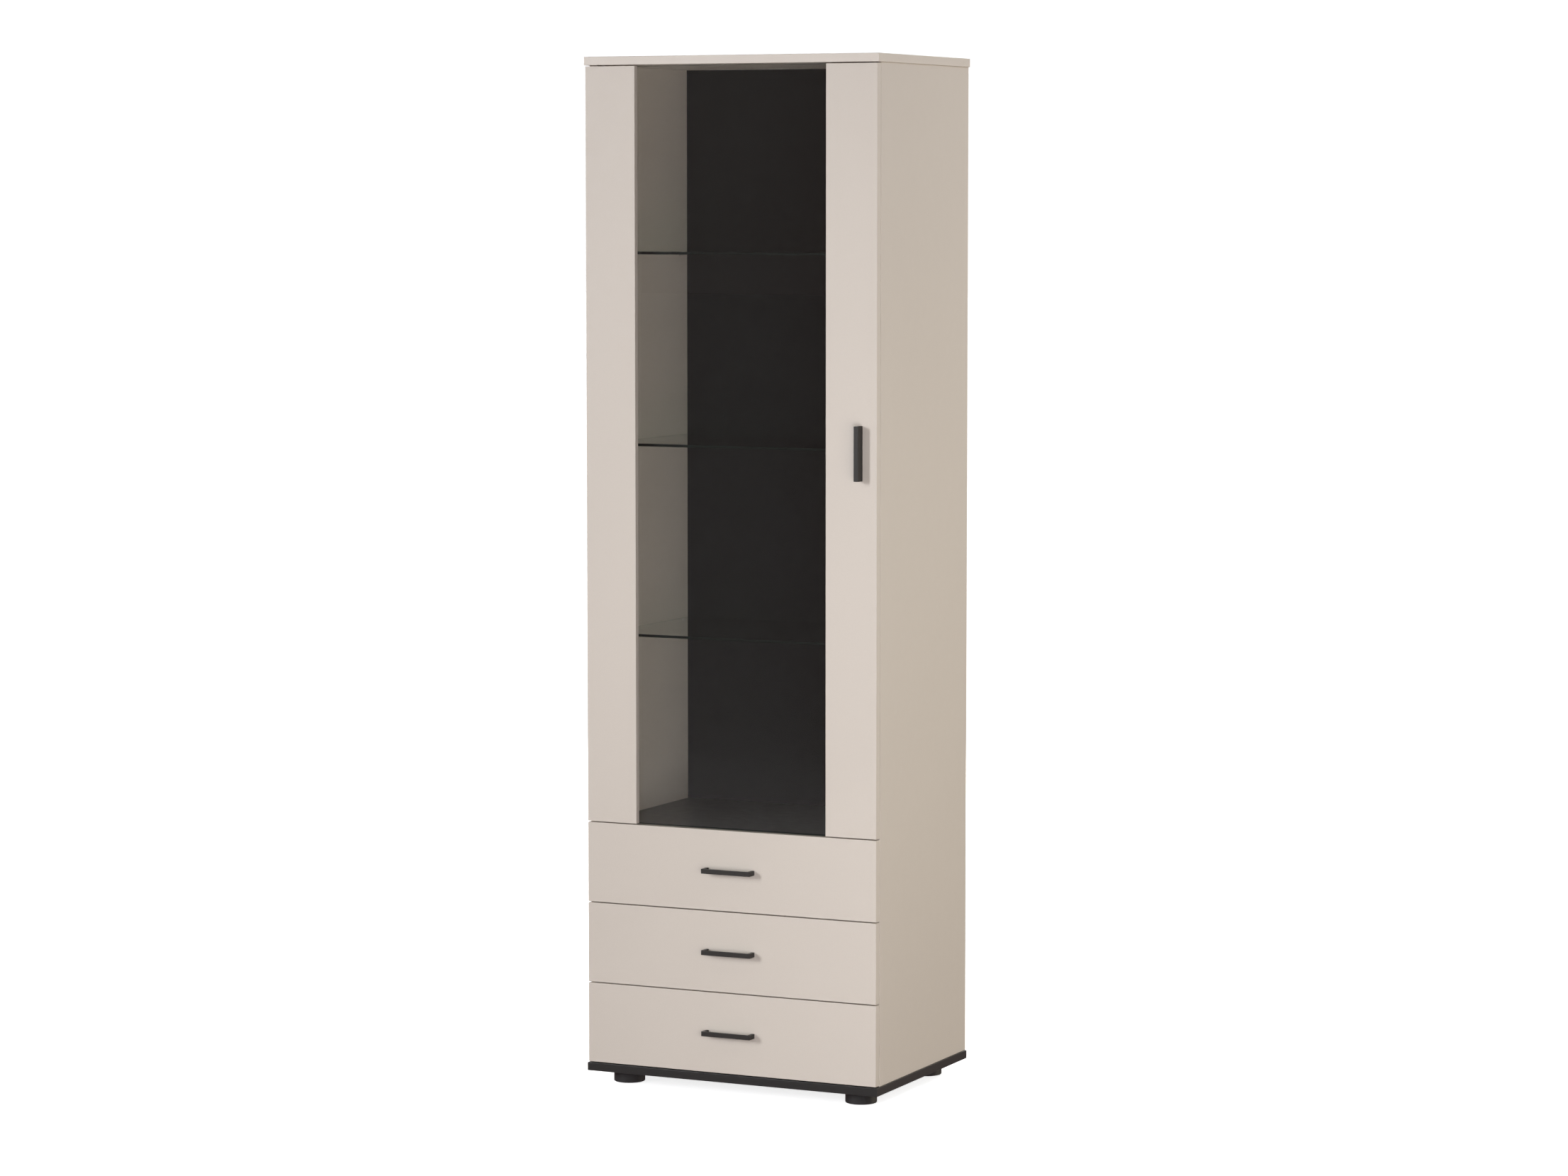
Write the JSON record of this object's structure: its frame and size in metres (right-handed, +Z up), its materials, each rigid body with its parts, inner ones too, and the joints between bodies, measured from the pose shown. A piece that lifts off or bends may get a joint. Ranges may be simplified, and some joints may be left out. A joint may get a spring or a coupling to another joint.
{
  "type": "china cabinet",
  "caption": "Tall free-standing china cabinet: a glazed door over glass shelves, drawers below, slim dark pulls, a dark base and round feet.",
  "frame": {"origin": "centre of the overall footprint, handles included, on the floor", "axes": "+X to the cabinet's right, +Y to its rear, +Z up"},
  "size_m": [0.61, 0.446, 1.96],
  "materials": {
    "greige_laminate": "matte warm grey-beige laminate on particle board",
    "black_laminate": "satin black laminate on particle board",
    "black_back": "black coated thin fibreboard",
    "clear_glass": "clear float glass, green at the edges",
    "black_metal": "matte black powder coat",
    "foot_plastic": "black moulded plastic",
    "runner_coat": "light grey epoxy-coated steel",
    "nickel": "nickel-plated steel",
    "box_board": "off-white laminate on particle board",
    "box_bottom": "off-white coated fibreboard"
  },
  "bodies": {
    "cabinet": {"top_board": "greige_laminate", "base_board": "black_laminate", "side_panel_left": "greige_laminate", "side_panel_right": "greige_laminate", "back_panel": "black_back", "compartment_floor": "black_laminate", "foot_front_left": "foot_plastic", "foot_front_right": "foot_plastic", "foot_rear_left": "foot_plastic", "foot_rear_right": "foot_plastic", "glass_shelf_lower": "clear_glass", "glass_shelf_middle": "clear_glass", "glass_shelf_upper": "clear_glass", "runner_bottom_left": "runner_coat", "runner_bottom_right": "runner_coat", "runner_middle_left": "runner_coat", "runner_middle_right": "runner_coat", "runner_top_left": "runner_coat", "runner_top_right": "runner_coat", "hinge_arm_lower": "nickel", "hinge_arm_middle": "nickel", "hinge_arm_upper": "nickel"},
    "door": {"door_stile_left": "greige_laminate", "door_stile_right": "greige_laminate", "door_glass": "clear_glass", "door_handle": "black_metal", "hinge_cup_lower": "nickel", "hinge_cup_middle": "nickel", "hinge_cup_upper": "nickel"},
    "hinge_links": {"hinge_link_lower": "nickel", "hinge_link_middle": "nickel", "hinge_link_upper": "nickel"},
    "drawer_bottom": {"drawer_bottom_front": "greige_laminate", "drawer_bottom_handle": "black_metal", "drawer_bottom_side_left": "box_board", "drawer_bottom_side_right": "box_board", "drawer_bottom_runner_left": "runner_coat", "drawer_bottom_runner_right": "runner_coat", "drawer_bottom_back": "box_board", "drawer_bottom_bottom": "box_bottom"},
    "drawer_middle": {"drawer_middle_front": "greige_laminate", "drawer_middle_handle": "black_metal", "drawer_middle_side_left": "box_board", "drawer_middle_side_right": "box_board", "drawer_middle_runner_left": "runner_coat", "drawer_middle_runner_right": "runner_coat", "drawer_middle_back": "box_board", "drawer_middle_bottom": "box_bottom"},
    "drawer_top": {"drawer_top_front": "greige_laminate", "drawer_top_handle": "black_metal", "drawer_top_side_left": "box_board", "drawer_top_side_right": "box_board", "drawer_top_runner_left": "runner_coat", "drawer_top_runner_right": "runner_coat", "drawer_top_back": "box_board", "drawer_top_bottom": "box_bottom"}
  },
  "joints": [
    {"name": "door_swing", "type": "hinge", "parent": "cabinet", "child": "door", "pos_m": [-0.302, -0.202, 1.22563], "axis": [0, 0, -1], "range_deg": [0, 110]},
    {"name": "hinge_link_swing", "type": "hinge", "parent": "door", "child": "hinge_links", "pos_m": [-0.282, -0.183, 1.312], "axis": [0, 0, -1], "range_deg": [-90, 0]},
    {"name": "drawer_bottom_slide", "type": "slide", "parent": "cabinet", "child": "drawer_bottom", "axis": [0, -1, 0], "range_m": [0, 0.26]},
    {"name": "drawer_middle_slide", "type": "slide", "parent": "cabinet", "child": "drawer_middle", "axis": [0, -1, 0], "range_m": [0, 0.26]},
    {"name": "drawer_top_slide", "type": "slide", "parent": "cabinet", "child": "drawer_top", "axis": [0, -1, 0], "range_m": [0, 0.26]}
  ],
  "couplings": [
    {"joint": "hinge_link_swing", "follows": "door_swing", "ratio": -0.81818}
  ]
}
